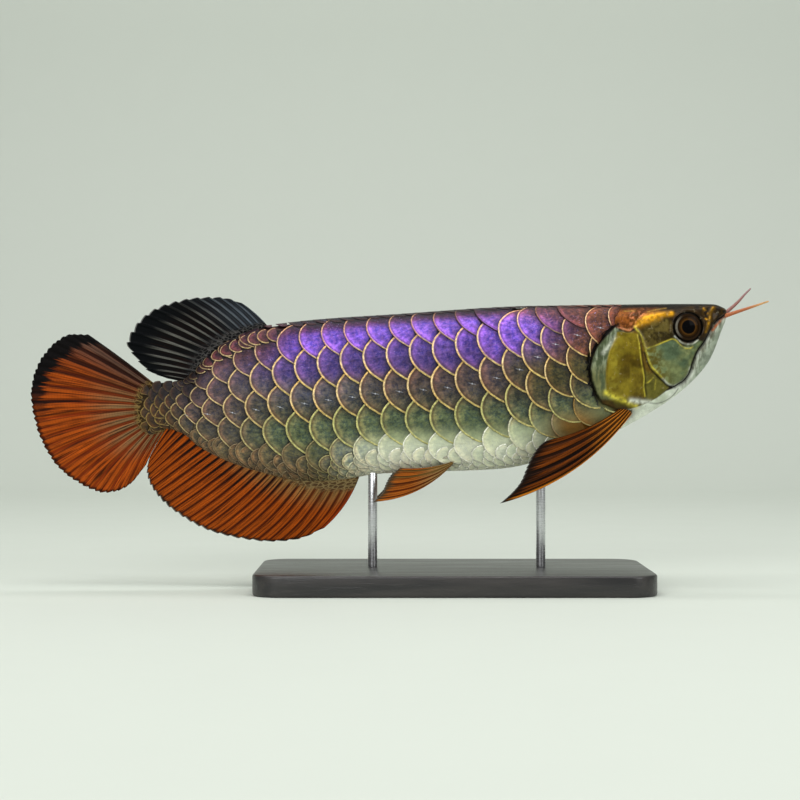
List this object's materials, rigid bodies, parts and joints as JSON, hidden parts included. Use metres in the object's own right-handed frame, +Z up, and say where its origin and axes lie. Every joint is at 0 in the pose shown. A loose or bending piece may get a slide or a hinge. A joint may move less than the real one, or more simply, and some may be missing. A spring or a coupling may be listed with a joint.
{
  "type": "asian arowana model",
  "caption": "Life-size still model of an Asian arowana, swimming level with fins spread, held over a flat display base by short rods.",
  "frame": {"origin": "centre of the underside of the stand's base, on the floor", "axes": "+Z up; the fish heads along +X; its right side faces -Y"},
  "size_m": [0.3166, 0.086, 0.1302],
  "materials": {
    "scaled_skin": "pearly scales, violet above to pale green-white below, golden rims",
    "head_skin": "bare skin over bone, olive brown, wet sheen",
    "gill_cover": "olive gold, metallic sheen",
    "jaw_skin": "silvery white, satin",
    "orange_fin": "orange-brown rays and webs, dark rim, satin",
    "dark_fin": "near-black webs with grey rays, satin",
    "eye": "dark brown iris with a gold ring, polished",
    "barbel": "orange brown, satin",
    "stand_base": "black stained, satin",
    "stand_rod": "brushed"
  },
  "bodies": {
    "root": {"head": "head_skin", "lower_jaw": "jaw_skin", "gill_cover_right": "gill_cover", "gill_cover_left": "gill_cover", "trunk": "scaled_skin", "tail": "scaled_skin", "dorsal_fin": "dark_fin", "anal_fin": "orange_fin", "caudal_fin": "orange_fin", "pectoral_fin_right": "orange_fin", "pectoral_fin_left": "orange_fin", "pelvic_fin_right": "orange_fin", "pelvic_fin_left": "orange_fin", "eye_right": "eye", "eye_left": "eye", "barbel_right": "barbel", "barbel_left": "barbel", "stand_base": "stand_base", "stand_rod_front": "stand_rod", "stand_rod_rear": "stand_rod"}
  },
  "joints": []
}
